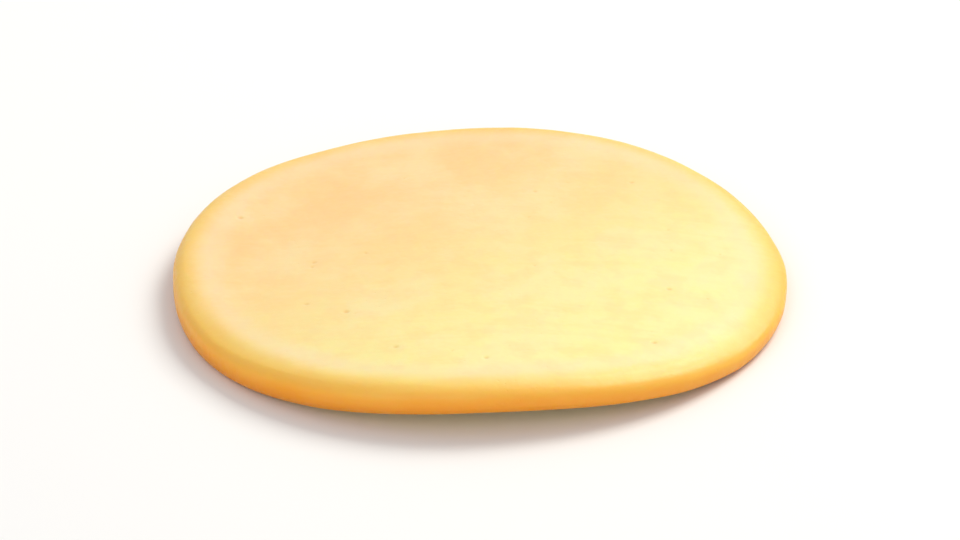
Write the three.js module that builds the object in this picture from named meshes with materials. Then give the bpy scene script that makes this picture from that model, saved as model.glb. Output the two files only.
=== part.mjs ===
// One round slice of semi-hard stretched-curd cheese, cut across a log, lying by itself on a flat surface.
//
// The slice is a soft, slightly squarish disc with a rounded rim, blunt at its -X side and thinning towards
// +X. It keeps a low bend from hanging over an edge: straight on the -X half and drooping on the +X half, it
// rests on a flat foot at its -X side and on its +X tip. The cheese is one solid piece.
//
// Millimetres, +Z up. The origin is on the surface, under the middle of the slice's box. +X is the way the
// slice droops.
import * as THREE from "three";

// The outline, seen from above.
const MEAN_RADIUS = 53.6;
const OVAL = 0.007; // share of the radius: a little longer along X than along Y
const EGG = 0.007; // and a little fuller towards +X
const SQUARENESS = -0.009; // four slight flats, from the mould of the log

// The thickness, and the rounding of the rim.
const THICKNESS = 5.9; // in the middle of the slice
const TAPER = 2.0; // from the thick -X edge to the thin +X edge
const BLUNT_SHOULDER = 4.2; // how far in from the edge the top begins to curve down, where that is least
const SOFT_SHOULDER = 9.0; // and on the opposite side, where the slice thins out like a cushion
const SOFT_SIDE = THREE.MathUtils.degToRad(-35); // the direction of that side, from +X, seen from above
const UNDER_SHOULDER = 2.6; // how far in from the edge the underside begins to curve up
const RIM_FULLNESS = 2.5; // the superellipse exponent of the rim: 2 is round, more is squarer

// The bend of the slice, along the way it droops. Its underside is flat on the surface up to the end of its
// foot, climbs straight from there, bends down, and comes back to the surface at the tip.
const DROOP_ANGLE = THREE.MathUtils.degToRad(-10); // from +X, seen from above
const CLIMB = Math.tan(THREE.MathUtils.degToRad(4.8));
const FOOT_END = -43;
const FOOT_BLEND = 10; // the underside leaves the surface over this length
const BEND_START = -5;
const TIP_START = 50;
const TIP_BLEND = 0.3; // and lands on it again from about this height
const SKEW = 0.15; // the arch is this share higher at the -Y edge than in the middle

// How finely the solid is faceted.
const SEGMENTS = 96; // round the outline
const FACE_RINGS = 16; // across the top and across the underside
const RIM_STEPS = 8; // from the top shoulder to the under shoulder

// The distance from the middle to the edge of the slice at an angle.
function outlineRadius(angle) {
  const shape = OVAL * Math.cos(2 * angle) + EGG * Math.cos(3 * angle) + SQUARENESS * Math.cos(4 * angle);
  return MEAN_RADIUS * (1 + shape);
}

// How far in from the edge the top begins to curve down, at an angle.
function topShoulder(angle) {
  return THREE.MathUtils.lerp(BLUNT_SHOULDER, SOFT_SHOULDER, (1 + Math.cos(angle - SOFT_SIDE)) / 2);
}

// Places along the droop direction and across it.
function alongDroop(x, y) {
  return x * Math.cos(DROOP_ANGLE) + y * Math.sin(DROOP_ANGLE);
}

function acrossDroop(x, y) {
  return y * Math.cos(DROOP_ANGLE) - x * Math.sin(DROOP_ANGLE);
}

// Nothing below zero, a parabola over the blend, and from there a straight line as steep as the value itself.
function softRise(value, blend) {
  const inBlend = Math.min(Math.max(value, 0), blend);
  return (inBlend * inBlend) / (2 * blend) + Math.max(0, value - blend);
}

// The height of the underside above the surface.
function lift(x, y) {
  const bend = (CLIMB * softRise(TIP_START - FOOT_END, FOOT_BLEND)) / (TIP_START - BEND_START) ** 2;
  const along = alongDroop(x, y);
  const climb = CLIMB * softRise(along - FOOT_END, FOOT_BLEND);
  const droop = bend * Math.max(0, along - BEND_START) ** 2;
  const skew = 1 - (SKEW * acrossDroop(x, y)) / MEAN_RADIUS;
  return softRise(skew * (climb - droop), TIP_BLEND);
}

// The thickness away from the rounded rim.
function thickness(x, y) {
  return THICKNESS - (TAPER * alongDroop(x, y)) / (2 * MEAN_RADIUS);
}

// The rings from the middle of the top, round the rim, to the middle of the underside. Each ring has a
// radius, as a function of the angle, and a level, from 1 on the top to -1 underneath.
function rings() {
  const found = [];
  for (let i = 1; i < FACE_RINGS; i += 1) {
    const share = i / FACE_RINGS;
    found.push({ radius: (angle) => (outlineRadius(angle) - topShoulder(angle)) * share, level: 1 });
  }
  for (let i = 0; i <= RIM_STEPS; i += 1) {
    const turn = (Math.PI * i) / RIM_STEPS; // 0 at the top shoulder, a half turn at the under shoulder
    const power = 2 / RIM_FULLNESS;
    const reach = Math.sin(turn) ** power;
    const level = Math.sign(Math.cos(turn)) * Math.abs(Math.cos(turn)) ** power;
    const shoulder = 2 * i < RIM_STEPS ? topShoulder : () => UNDER_SHOULDER;
    found.push({ radius: (angle) => outlineRadius(angle) - shoulder(angle) * (1 - reach), level });
  }
  for (let i = FACE_RINGS - 1; i > 0; i -= 1) {
    const share = i / FACE_RINGS;
    found.push({ radius: (angle) => (outlineRadius(angle) - UNDER_SHOULDER) * share, level: -1 });
  }
  return found;
}

function point(x, y, level) {
  return [x, y, lift(x, y) + (thickness(x, y) * (1 + level)) / 2];
}

// The closed skin of the slice: two middle points and the rings between them.
function sliceGeometry() {
  const ringList = rings();
  const positions = [...point(0, 0, 1)];
  for (const ring of ringList) {
    for (let s = 0; s < SEGMENTS; s += 1) {
      const angle = (2 * Math.PI * s) / SEGMENTS;
      const r = ring.radius(angle);
      positions.push(...point(r * Math.cos(angle), r * Math.sin(angle), ring.level));
    }
  }
  positions.push(...point(0, 0, -1));

  const at = (ring, s) => 1 + ring * SEGMENTS + (s % SEGMENTS);
  const last = ringList.length - 1;
  const underMiddle = 1 + ringList.length * SEGMENTS;
  const faces = [];
  for (let s = 0; s < SEGMENTS; s += 1) {
    faces.push(0, at(0, s), at(0, s + 1));
    for (let ring = 0; ring < last; ring += 1) {
      faces.push(at(ring, s), at(ring + 1, s), at(ring + 1, s + 1));
      faces.push(at(ring, s), at(ring + 1, s + 1), at(ring, s + 1));
    }
    faces.push(at(last, s), underMiddle, at(last, s + 1));
  }

  const geometry = new THREE.BufferGeometry();
  geometry.setAttribute("position", new THREE.Float32BufferAttribute(positions, 3));
  geometry.setIndex(faces);
  geometry.computeBoundingBox();
  const middle = geometry.boundingBox.getCenter(new THREE.Vector3());
  geometry.translate(-middle.x, -middle.y, 0);
  geometry.computeVertexNormals();
  return geometry;
}

const cheese = new THREE.MeshStandardMaterial({ color: 0xf7d592, roughness: 0.45, metalness: 0 });

const slice = new THREE.Mesh(sliceGeometry(), cheese);
slice.name = "cheese_slice";

const part = new THREE.Group();
part.name = "round_cheese_slice";
part.add(slice);

export default part;
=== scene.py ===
"""The looks of one round slice of semi-hard stretched-curd cheese, lying alone on a pale floor.

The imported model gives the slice's size and place. This script makes its fine surface around that: the soft
rounded rim of the log's own skin, the cut faces with the slicer's faint arcs and the small openings of the
curd, and the cheese itself as a material.

Everything is in metres, +Z up, and the slice lies on z = 0 with its drooping side towards +X.
"""

import math

import bpy
from mathutils import Matrix, Vector, noise


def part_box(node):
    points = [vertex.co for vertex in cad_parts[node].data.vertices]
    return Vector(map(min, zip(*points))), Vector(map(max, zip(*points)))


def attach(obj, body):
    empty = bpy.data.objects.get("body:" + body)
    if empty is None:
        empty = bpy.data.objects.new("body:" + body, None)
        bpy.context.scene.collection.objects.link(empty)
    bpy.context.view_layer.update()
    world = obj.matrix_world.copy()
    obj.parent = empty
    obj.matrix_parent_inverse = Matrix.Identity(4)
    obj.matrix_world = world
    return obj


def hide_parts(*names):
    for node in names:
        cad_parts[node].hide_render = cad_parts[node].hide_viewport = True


MM = 0.001
NODE = "cheese_slice"

# The outline, as shares of the mean radius.
OVAL = 0.007  # a little longer along X than along Y
EGG = 0.007  # a little fuller towards +X
SQUARENESS = -0.009  # four slight flats, from the mould of the log

# The unevenness of a soft edge, all the way round: (how long each wave is, how far it stands out).
EDGE_WAVES = ((26 * MM, 0.30 * MM), (9 * MM, 0.09 * MM), (3 * MM, 0.025 * MM))

# The thickness and the rounding of the rim.
THICKNESS = 5.9 * MM
TAPER = 2.0 * MM  # from the thick -X edge to the thin +X edge
BLUNT_SHOULDER = 4.2 * MM  # how far in from the edge the top begins to curve down, where that is least
SOFT_SHOULDER = 9.0 * MM  # and on the opposite side, where the slice thins out like a cushion
SOFT_SIDE = math.radians(-35)
UNDER_SHOULDER = 2.6 * MM
RIM_FULLNESS = 2.5  # the superellipse exponent of the rim

# The bend of the slice, along the way it droops: flat on the floor up to the end of its foot, straight and
# climbing from there, bending down, and back on the floor at the tip.
DROOP_ANGLE = math.radians(-10)
CLIMB = math.tan(math.radians(4.8))
FOOT_END = -43 * MM
FOOT_BLEND = 10 * MM
BEND_START = -5 * MM
TIP_START = 50 * MM
TIP_BLEND = 0.3 * MM
SKEW = 0.15  # the bend stands this share higher at the -Y edge than in the middle

# Soft swells of the cut faces: (how far across each is, how high it stands).
SWELLS = ((26 * MM, 0.22 * MM), (11 * MM, 0.09 * MM), (4.5 * MM, 0.022 * MM))
SWELL_STEP = 7.3  # how far off in the noise each cut face takes its own swells

# How finely the surface is faceted.
RING_GROWTH = 6  # each ring of a face has this many points more than the one inside it
TOP_RINGS = 132
UNDER_RINGS = 66
RIM_STEPS = 28


def linear(hex_colour):
    """An sRGB hex colour as the linear RGBA that Blender's sockets take."""
    shares = [int(hex_colour[i : i + 2], 16) / 255 for i in (1, 3, 5)]
    return (*[s / 12.92 if s <= 0.04045 else ((s + 0.055) / 1.055) ** 2.4 for s in shares], 1.0)


def add(tree, kind, inputs=None, **settings):
    """Adds a node. An input is a value, a socket to link from, or a node, which gives its first output."""
    node = tree.nodes.new(kind)
    for name, value in settings.items():
        setattr(node, name, value)
    for socket, value in (inputs or {}).items():
        source = value.outputs[0] if isinstance(value, bpy.types.Node) else value
        if isinstance(source, bpy.types.NodeSocket):
            tree.links.new(source, node.inputs[socket])
        else:
            node.inputs[socket].default_value = source
    return node


# ---------------------------------------------------------------------------------------------------------
# The slice's shape
# ---------------------------------------------------------------------------------------------------------


def soft_rise(value, blend):
    """Nothing below zero, a parabola over the blend, and from there a straight line."""
    in_blend = min(max(value, 0.0), blend)
    return in_blend * in_blend / (2 * blend) + max(0.0, value - blend)


class SliceShape:
    """The surface of the slice, as points found from an angle, a share of the way out and a level."""

    def __init__(self, low, high):
        # Along X the outline is this many mean radii wide: the cosines of its two ends, added up.
        widths = 2 * (1 + OVAL + SQUARENESS)
        self.radius = (high.x - low.x) / widths
        # EGG moves the outline's middle off the origin of its formula, and the box's middle is put back.
        self.middle = Vector(((low.x + high.x) / 2 - EGG * self.radius, (low.y + high.y) / 2))

    def outline(self, angle):
        around = Vector((math.cos(angle), math.sin(angle), 0)) * self.radius
        waver = sum(height * noise.noise(around / length) for length, height in EDGE_WAVES)
        shape = OVAL * math.cos(2 * angle) + EGG * math.cos(3 * angle) + SQUARENESS * math.cos(4 * angle)
        return self.radius * (1 + shape) + waver

    def top_shoulder(self, angle):
        return BLUNT_SHOULDER + (SOFT_SHOULDER - BLUNT_SHOULDER) * (1 + math.cos(angle - SOFT_SIDE)) / 2

    def lift(self, x, y):
        """The height of the underside above the floor."""
        along = x * math.cos(DROOP_ANGLE) + y * math.sin(DROOP_ANGLE)
        across = y * math.cos(DROOP_ANGLE) - x * math.sin(DROOP_ANGLE)
        bend = CLIMB * soft_rise(TIP_START - FOOT_END, FOOT_BLEND) / (TIP_START - BEND_START) ** 2
        climb = CLIMB * soft_rise(along - FOOT_END, FOOT_BLEND)
        droop = bend * max(0.0, along - BEND_START) ** 2
        skew = 1 - SKEW * across / self.radius
        return soft_rise(skew * (climb - droop), TIP_BLEND)

    def thickness(self, x, y):
        along = x * math.cos(DROOP_ANGLE) + y * math.sin(DROOP_ANGLE)
        return THICKNESS - TAPER * along / (2 * self.radius)

    def point(self, angle, distance, level):
        """The point at a distance from the middle. Level is 1 on the top, 0 at mid-rim and -1 underneath."""
        x = distance * math.cos(angle)
        y = distance * math.sin(angle)
        swell = sum(
            height * noise.noise(Vector((x / width, y / width, SWELL_STEP * level)))
            for width, height in SWELLS
        )
        z = self.lift(x, y) + self.thickness(x, y) * (1 + level) / 2 + swell * level
        return Vector((x + self.middle.x, y + self.middle.y, max(0.0, z)))


def rings_of(shape):
    """The rings from the top's middle over the rim to the underside's middle.

    A ring is a list of points, each with its level and its inset, which is how far inside the outline it is.
    """
    rings = []

    def ring(count, inset_at, level):
        found = []
        for angle in [2 * math.pi * i / count for i in range(count)]:
            edge = shape.outline(angle)
            inset = inset_at(angle, edge)
            found.append((shape.point(angle, edge - inset, level), level, inset))
        rings.append(found)

    for i in range(1, TOP_RINGS + 1):
        ring(RING_GROWTH * i, lambda a, edge: edge - (edge - shape.top_shoulder(a)) * i / TOP_RINGS, 1.0)
    power = 2 / RIM_FULLNESS
    for i in range(1, RIM_STEPS):
        turn = math.pi * i / RIM_STEPS
        reach = math.sin(turn) ** power
        level = math.copysign(abs(math.cos(turn)) ** power, math.cos(turn))
        if level > 0:
            ring(RING_GROWTH * TOP_RINGS, lambda a, edge: shape.top_shoulder(a) * (1 - reach), level)
        else:
            ring(RING_GROWTH * TOP_RINGS, lambda a, edge: UNDER_SHOULDER * (1 - reach), level)
    for i in range(UNDER_RINGS, 0, -1):
        ring(RING_GROWTH * i, lambda a, edge: edge - (edge - UNDER_SHOULDER) * i / UNDER_RINGS, -1.0)
    return rings


def band(first, first_count, second, second_count):
    """The triangles between two rings, facing outwards when the first is the upper or the inner one."""
    triangles = []
    i = j = 0
    while i < first_count or j < second_count:
        a = first + i % first_count
        b = second + j % second_count
        if j == second_count or (i < first_count and (i + 0.5) * second_count < (j + 0.5) * first_count):
            triangles.append((a, b, first + (i + 1) % first_count))
            i += 1
        else:
            triangles.append((a, b, second + (j + 1) % second_count))
            j += 1
    return triangles


def slice_mesh(shape):
    """One closed mesh, with each point's inset and level as attributes."""
    rings = [[(shape.point(0, 0, 1.0), 1.0, shape.radius)], *rings_of(shape)]
    rings.append([(shape.point(0, 0, -1.0), -1.0, shape.radius)])
    starts = [sum(len(ring) for ring in rings[:i]) for i in range(len(rings))]
    triangles = []
    for i in range(1, len(rings)):
        triangles += band(starts[i - 1], len(rings[i - 1]), starts[i], len(rings[i]))
    # The two middles are rings of one point, so their bands also hold triangles that use it twice.
    triangles = [triangle for triangle in triangles if len(set(triangle)) == 3]
    points, levels, insets = zip(*[point for ring in rings for point in ring])
    mesh = bpy.data.meshes.new(NODE)
    mesh.from_pydata(points, [], triangles)
    for name, values in (("level", levels), ("inset", insets)):
        mesh.attributes.new(name, "FLOAT", "POINT").data.foreach_set("value", values)
    mesh.update()
    return mesh


# ---------------------------------------------------------------------------------------------------------
# The cut faces: the slicer's arcs and the curd's openings
# ---------------------------------------------------------------------------------------------------------

CUT_INPUTS = {
    "Blade centre": ("NodeSocketVector", (-0.13, 0.09, 0)),  # the round blade ran about this point
    "Arc spacing": ("NodeSocketFloat", 1.9 * MM),
    "Arc depth": ("NodeSocketFloat", 0.02 * MM),
    "Arc waver": ("NodeSocketFloat", 2.5),  # in radians of the arcs' own waves
    "Patch size": ("NodeSocketFloat", 24 * MM),  # how far across each patch of arcs is
    "Openings per square metre": ("NodeSocketFloat", 5200.0),
    "Smallest opening": ("NodeSocketFloat", 0.35 * MM),  # radius
    "Largest opening": ("NodeSocketFloat", 0.85 * MM),
    "Opening depth": ("NodeSocketFloat", 0.30),  # share of the radius
    "Seed": ("NodeSocketInt", 11),
}
OPENING_GAP = 2.1  # from one opening's middle to the next at the least, in radii of the largest
SMALLNESS = 2.2  # the higher, the more of the openings are small
OPENING_FLOOR = 0.15  # the level middle of an opening, as a share of its radius


def cut_face_tree(material):
    """Presses the slicer's arcs and the scattered openings into the cut faces of a mesh with insets on it."""
    tree = bpy.data.node_groups.new("cut faces", "GeometryNodeTree")
    tree.interface.new_socket("Geometry", in_out="INPUT", socket_type="NodeSocketGeometry")
    for name, (kind, _) in CUT_INPUTS.items():
        tree.interface.new_socket(name, in_out="INPUT", socket_type=kind)
    tree.interface.new_socket("Geometry", in_out="OUTPUT", socket_type="NodeSocketGeometry")
    given = add(tree, "NodeGroupInput").outputs
    place = add(tree, "GeometryNodeInputPosition")
    normal = add(tree, "GeometryNodeInputNormal")
    inset = add(tree, "GeometryNodeInputNamedAttribute", {"Name": "inset"}, data_type="FLOAT")
    edge_to_face = {"Value": inset, "From Min": UNDER_SHOULDER, "From Max": 2 * UNDER_SHOULDER}
    on_face = add(tree, "ShaderNodeMapRange", edge_to_face, interpolation_type="SMOOTHSTEP")

    # The slicer's arcs: low waves about the blade's centre, which waver and come and go in patches.
    away = add(tree, "ShaderNodeVectorMath", {0: place, 1: given["Blade centre"]}, operation="DISTANCE")
    in_patches = add(tree, "ShaderNodeVectorMath", {0: place, 1: given["Patch size"]}, operation="DIVIDE")
    patches = add(tree, "ShaderNodeTexNoise", {"Vector": in_patches, "Scale": 1.0, "Detail": 2.0})
    waver = add(tree, "ShaderNodeMath", {0: patches, 1: given["Arc waver"]}, operation="MULTIPLY")
    arcs_in = {0: away.outputs["Value"], 1: given["Arc spacing"]}
    arcs_away = add(tree, "ShaderNodeMath", arcs_in, operation="DIVIDE")
    phase = add(tree, "ShaderNodeMath", {0: arcs_away, 1: 2 * math.pi, 2: waver}, operation="MULTIPLY_ADD")
    wave = add(tree, "ShaderNodeMath", {0: phase}, operation="SINE")
    trough = add(tree, "ShaderNodeMath", {0: wave, 1: 0.5, 2: 0.5}, operation="MULTIPLY_ADD")
    patchy = add(tree, "ShaderNodeMath", {0: trough, 1: patches}, operation="MULTIPLY")
    arcs = add(tree, "ShaderNodeMath", {0: patchy, 1: given["Arc depth"]}, operation="MULTIPLY")

    # The openings: shallow hollows, none nearer to the next than its own width, and most of them small.
    on_flat = add(tree, "ShaderNodeMath", {0: inset, 1: SOFT_SHOULDER}, operation="GREATER_THAN")
    gap = add(tree, "ShaderNodeMath", {0: given["Largest opening"], 1: OPENING_GAP}, operation="MULTIPLY")
    scattered = {
        "Mesh": given["Geometry"],
        "Selection": on_flat,
        "Distance Min": gap,
        "Density Max": given["Openings per square metre"],
        "Seed": given["Seed"],
    }
    points = add(tree, "GeometryNodeDistributePointsOnFaces", scattered, distribute_method="POISSON")
    drawn = add(tree, "FunctionNodeRandomValue", {2: 0.0, 3: 1.0, "Seed": given["Seed"]}, data_type="FLOAT")
    size = add(tree, "ShaderNodeMath", {0: drawn.outputs[1], 1: SMALLNESS}, operation="POWER")
    sizes = {0: given["Largest opening"], 1: given["Smallest opening"]}
    spread = add(tree, "ShaderNodeMath", sizes, operation="SUBTRACT")
    scaled = {0: size, 1: spread, 2: given["Smallest opening"]}
    radius = add(tree, "ShaderNodeMath", scaled, operation="MULTIPLY_ADD")
    nearest = add(tree, "GeometryNodeSampleNearest", {"Geometry": points}, domain="POINT")
    radius_there = {"Geometry": points, "Index": nearest, "Value": radius}
    own_radius = add(tree, "GeometryNodeSampleIndex", radius_there, data_type="FLOAT", domain="POINT")
    place_there = {"Geometry": points, "Index": nearest, "Value": place}
    middle = add(tree, "GeometryNodeSampleIndex", place_there, data_type="FLOAT_VECTOR", domain="POINT")
    off = add(tree, "ShaderNodeVectorMath", {0: place, 1: middle}, operation="DISTANCE").outputs["Value"]
    way_out = add(tree, "ShaderNodeMath", {0: off, 1: own_radius}, operation="DIVIDE")
    rim_to_floor = {"Value": way_out, "From Min": 1.0, "From Max": OPENING_FLOOR}
    inside = add(tree, "ShaderNodeMapRange", rim_to_floor, interpolation_type="SMOOTHSTEP")
    deep = add(tree, "ShaderNodeMath", {0: own_radius, 1: given["Opening depth"]}, operation="MULTIPLY")

    depth = add(tree, "ShaderNodeMath", {0: inside, 1: deep, 2: arcs}, operation="MULTIPLY_ADD")
    fading = add(tree, "ShaderNodeMath", {0: depth, 1: on_face}, operation="MULTIPLY")
    inwards = add(tree, "ShaderNodeMath", {0: fading, 1: -1.0}, operation="MULTIPLY")
    offset = add(tree, "ShaderNodeVectorMath", {0: normal, "Scale": inwards}, operation="SCALE")
    pressed = add(tree, "GeometryNodeSetPosition", {"Geometry": given["Geometry"], "Offset": offset})
    marked = {"Geometry": pressed, "Name": "opening", "Value": inside}
    stored = add(tree, "GeometryNodeStoreNamedAttribute", marked, data_type="FLOAT", domain="POINT")
    realised = add(tree, "GeometryNodeRealizeInstances", {"Geometry": stored})
    finished = add(tree, "GeometryNodeSetMaterial", {"Geometry": realised, "Material": material})
    add(tree, "NodeGroupOutput", {"Geometry": finished})
    return tree


def finish_cut_faces(piece, material):
    """Runs the tree on the piece and leaves its result as a plain mesh."""
    tree = cut_face_tree(material)
    modifier = piece.modifiers.new("cut faces", "NODES")
    modifier.node_group = tree
    for socket in tree.interface.items_tree:
        if socket.in_out == "INPUT" and socket.name in CUT_INPUTS:
            modifier[socket.identifier] = CUT_INPUTS[socket.name][1]
    evaluated = piece.evaluated_get(bpy.context.evaluated_depsgraph_get())
    mesh = bpy.data.meshes.new_from_object(evaluated)
    piece.modifiers.remove(modifier)
    piece.data = mesh
    mesh.name = piece.name


# ---------------------------------------------------------------------------------------------------------
# The cheese
# ---------------------------------------------------------------------------------------------------------

# ShaderNodeMix has a set of sockets for each kind of data. These are the ones for colours.
MIX_A = 6
MIX_B = 7
MIX_RESULT = 2


def stretched_curd_cheese(half_width):
    """Stretched-curd cheese, cut from a log: fat and protein set into a soft, faintly translucent solid.

    The eye gets a pale butter yellow that light sinks into, so that shaded edges stay warm, a satin face with
    cloudy patches and faint fibres where the curd was pulled, and a deeper, smoother skin on the rim. Light
    and
    shade are also painted into the colour: in part the paler face towards the thin side, a pale highlight
    band on the shoulder, the rim darkening downwards and on the thick side, and darker openings.
    """
    material = bpy.data.materials.new("stretched-curd cheese")
    material.use_nodes = True
    tree = material.node_tree
    tree.nodes.clear()
    place = add(tree, "ShaderNodeTexCoord").outputs["Object"]
    inset = add(tree, "ShaderNodeAttribute", attribute_name="inset").outputs["Fac"]
    level = add(tree, "ShaderNodeAttribute", attribute_name="level").outputs["Fac"]
    opening = add(tree, "ShaderNodeAttribute", attribute_name="opening").outputs["Fac"]

    # The way the slice thins, towards the front right. The face is painted lighter along it, and the rim's
    # painted shade grows weaker.
    turned = add(tree, "ShaderNodeMapping", {"Vector": place, "Rotation": (0, 0, math.radians(55))})
    thinning = add(tree, "ShaderNodeSeparateXYZ", {0: turned})
    # Cloudy patches, where the curd holds more or less fat.
    clouds = add(tree, "ShaderNodeTexNoise", {"Vector": place, "Scale": 1 / (13 * MM), "Detail": 3.0})
    flecks = add(tree, "ShaderNodeTexNoise", {"Vector": place, "Scale": 1 / (5 * MM), "Detail": 2.0})
    # Fibres of the pulled curd: long across the slice and a couple of millimetres wide.
    fibre_scale = (1 / (26 * MM), 1 / (2.6 * MM), 1 / (6 * MM))
    pulled = {"Vector": place, "Rotation": (0, 0, math.radians(35)), "Scale": fibre_scale}
    along_fibres = add(tree, "ShaderNodeMapping", pulled)
    fibres = add(tree, "ShaderNodeTexNoise", {"Vector": along_fibres, "Scale": 1.0, "Detail": 3.0})
    # The face of fine grains that a blade leaves, with pores too small for the mesh.
    grain = add(tree, "ShaderNodeTexNoise", {"Vector": place, "Scale": 1 / (1.1 * MM), "Detail": 4.0})
    pores = add(tree, "ShaderNodeTexVoronoi", {"Vector": place, "Scale": 1 / (1.6 * MM)})

    # Each share goes smoothly from its first strength to its second while its value goes between two ends.
    ranges = {
        # the face paler towards the thin side: partly the cheese's own tone, partly painted light
        "thin side and painted light": (thinning, -0.70 * half_width, 0.85 * half_width, 0.0, 1.0),
        # the rim deeper on the thick -X side: painted shade
        "painted shade on the thick side": (thinning, -0.20 * half_width, 0.90 * half_width, 1.0, 0.7),
        "pale patches": (clouds, 0.40, 0.68, 0.0, 0.36),
        "warm flecks": (flecks, 0.42, 0.66, 0.0, 0.20),
        "fibres": (fibres, 0.45, 0.75, 0.0, 0.12),
        # a pale band just inside the edge: a painted highlight
        "inner painted highlight": (inset, 11 * MM, 6.5 * MM, 0.0, 0.35),
        "outer painted highlight": (inset, 2.5 * MM, 6 * MM, 0.0, 1.0),
        "shoulder": (inset, 6.5 * MM, 0.5 * MM, 0.0, 0.9),
        "near edge": (inset, 3.5 * MM, 1.0 * MM, 0.0, 1.0),
        "down the rim": (level, 1.05, -0.05, 0.0, 1.0),
        "skin patches": (clouds, 0.35, 0.62, 0.8, 1.0),
        # the rim deepest at its foot: painted shade
        "painted shade at the foot": (level, 0.35, -0.80, 0.0, 1.0),
        # the openings tinted darker: painted shade in the hollows
        "openings": (opening, 0.0, 1.0, 0.0, 0.30),
        "pores": (pores, 0.05, 0.16, 0.0, 0.5),
        "pore patches": (clouds, 0.5, 0.6, 0.0, 1.0),
        "roughness": (grain, 0.3, 0.7, 0.36, 0.50),
    }
    share = {}
    for name, (value, start, end, low, high) in ranges.items():
        inputs = {"Value": value, "From Min": start, "From Max": end, "To Min": low, "To Max": high}
        share[name] = add(tree, "ShaderNodeMapRange", inputs, interpolation_type="SMOOTHSTEP")

    # Each colour lies over the ones before it, where all of its shares are high. The rim is the log's own
    # amber skin;
    # its darkening from golden at the top to deepest below, and towards the thick side, is mostly painted
    # shade.
    layers = (
        # paler lemon towards the thin drooping side: partly the cheese's own tone, partly painted light
        ("#f8ea9c", ["thin side and painted light"]),  # lemon over butter
        ("#fae6b4", ["pale patches"]),
        ("#f8c784", ["warm flecks"]),
        ("#f0c374", ["fibres"]),
        ("#fddcb2", ["inner painted highlight", "outer painted highlight"]),  # a pale band along the shoulder: a painted highlight
        # golden on the shoulder, the top of the rim's gradient: partly the skin's colour, partly painted
        # shade
        ("#fcc95c", ["shoulder"]),
        # the rim's own amber skin; it grows down the rim partly as painted shade and is deeper on the thick
        # side as painted shade
        ("#f4a512", ["near edge", "down the rim", "skin patches", "painted shade on the thick side"]),
        # deepest amber at the foot of the rim: painted shade
        ("#e68d14", ["near edge", "painted shade at the foot", "painted shade on the thick side"]),
        # darker golden in the openings: painted shade in the hollows
        ("#e2ab4f", ["openings"]),
    )
    colour = linear("#f8cd8f")
    for hex_colour, names in layers:
        factor = share[names[0]]
        for name in names[1:]:
            factor = add(tree, "ShaderNodeMath", {0: factor, 1: share[name]}, operation="MULTIPLY")
        over = {0: factor, MIX_A: colour, MIX_B: linear(hex_colour)}
        colour = add(tree, "ShaderNodeMix", over, data_type="RGBA").outputs[MIX_RESULT]

    heights = {0: share["pores"], 1: share["pore patches"], 2: grain}
    relief = add(tree, "ShaderNodeMath", heights, operation="MULTIPLY_ADD")
    bump = add(tree, "ShaderNodeBump", {"Height": relief, "Strength": 0.8, "Distance": 0.10 * MM})
    finish = {
        "Base Color": colour,
        "Roughness": share["roughness"],
        "Normal": bump,
        "IOR": 1.45,
        "Specular IOR Level": 0.35,
        "Subsurface Weight": 1.0,
        "Subsurface Radius": (1.0, 0.68, 0.32),
        "Subsurface Scale": 1.9 * MM,
        "Coat Weight": 0.06,
        "Coat Roughness": 0.28,
    }
    cheese = add(tree, "ShaderNodeBsdfPrincipled", finish)
    add(tree, "ShaderNodeOutputMaterial", {"Surface": cheese})
    return material


# ---------------------------------------------------------------------------------------------------------
# The studio
# ---------------------------------------------------------------------------------------------------------


def matt_paper():
    """Seamless studio paper: matt, nearly white, with a shadow that stays soft and grey."""
    material = bpy.data.materials.new("matt studio paper")
    material.use_nodes = True
    tree = material.node_tree
    tree.nodes.clear()
    paper = add(tree, "ShaderNodeBsdfPrincipled", {"Base Color": linear("#f4f3f1"), "Roughness": 0.9})
    add(tree, "ShaderNodeOutputMaterial", {"Surface": paper})
    return material


def floor(size):
    mesh = bpy.data.meshes.new("floor")
    half = size / 2
    corner_points = [(-half, -half, 0), (half, -half, 0), (half, half, 0), (-half, half, 0)]
    mesh.from_pydata(corner_points, [], [(0, 1, 2, 3)])
    plane = bpy.data.objects.new("floor", mesh)
    bpy.context.scene.collection.objects.link(plane)
    mesh.materials.append(matt_paper())


def aimed(place, target):
    """The matrix of a light or camera at a place, looking at the target."""
    turn = (target - place).to_track_quat("-Z", "Y")
    return Matrix.Translation(place) @ turn.to_matrix().to_4x4()


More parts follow.
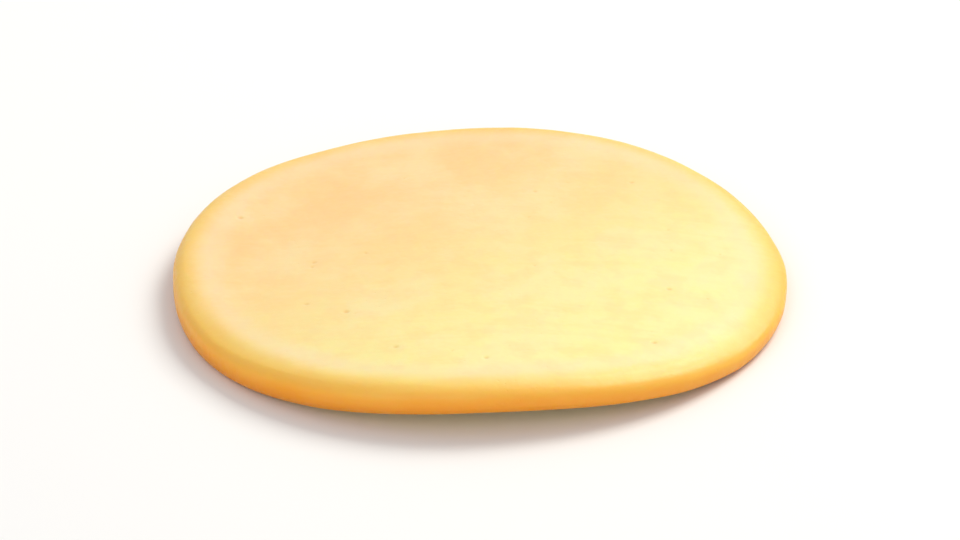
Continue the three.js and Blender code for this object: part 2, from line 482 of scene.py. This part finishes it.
def softbox(name, place, target, size, power, colour):
    light = bpy.data.lights.new(name, "AREA")
    light.size = size
    light.energy = power
    light.color = linear(colour)[:3]
    box = bpy.data.objects.new(name, light)
    box.matrix_world = aimed(place, target)
    bpy.context.scene.collection.objects.link(box)


def studio(target):
    """A large soft key from behind on the right, a weaker fill from low in front, and white walls."""
    softbox("key softbox", Vector((0.55, 0.50, 0.80)), target, 0.6, 9.2, "#fff8ec")
    softbox("fill softbox", Vector((-0.30, -0.90, 0.50)), target, 0.8, 2.7, "#fff6ea")
    world = bpy.data.worlds.new("white walls")
    world.use_nodes = True
    background = world.node_tree.nodes["Background"]
    background.inputs["Color"].default_value = linear("#f2f7ff")
    background.inputs["Strength"].default_value = 0.62
    bpy.context.scene.world = world


def camera(target, width):
    """Looks along +Y and down, with the slice across about two thirds of the picture."""
    elevation = math.radians(27)
    distance = 1.2
    share_of_frame = 0.64
    data = bpy.data.cameras.new("camera")
    data.lens = data.sensor_width * distance * share_of_frame / width
    data.clip_start = 0.01
    seen = bpy.data.objects.new("camera", data)
    direction = Vector((0, -math.cos(elevation), math.sin(elevation)))
    seen.matrix_world = aimed(target + direction * distance, target)
    bpy.context.scene.collection.objects.link(seen)
    bpy.context.scene.camera = seen


def cheese_slice(low, high):
    piece = bpy.data.objects.new("round_slice", slice_mesh(SliceShape(low, high)))
    bpy.context.scene.collection.objects.link(piece)
    material = stretched_curd_cheese((high.x - low.x) / 2)
    finish_cut_faces(piece, material)
    piece.data.shade_smooth()
    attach(piece, "root")
    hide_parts(NODE)


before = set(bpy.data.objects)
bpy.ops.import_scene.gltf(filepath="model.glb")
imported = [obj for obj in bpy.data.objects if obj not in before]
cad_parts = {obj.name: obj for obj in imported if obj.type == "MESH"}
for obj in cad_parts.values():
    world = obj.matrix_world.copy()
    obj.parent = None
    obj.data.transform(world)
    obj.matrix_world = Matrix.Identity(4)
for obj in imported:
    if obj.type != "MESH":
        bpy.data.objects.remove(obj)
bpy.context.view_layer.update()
low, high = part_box(NODE)
middle = (low + high) / 2
cheese_slice(low, high)
floor(12.0)
studio(middle)
camera(middle, high.x - low.x)
bpy.context.scene.view_settings.view_transform = "Standard"
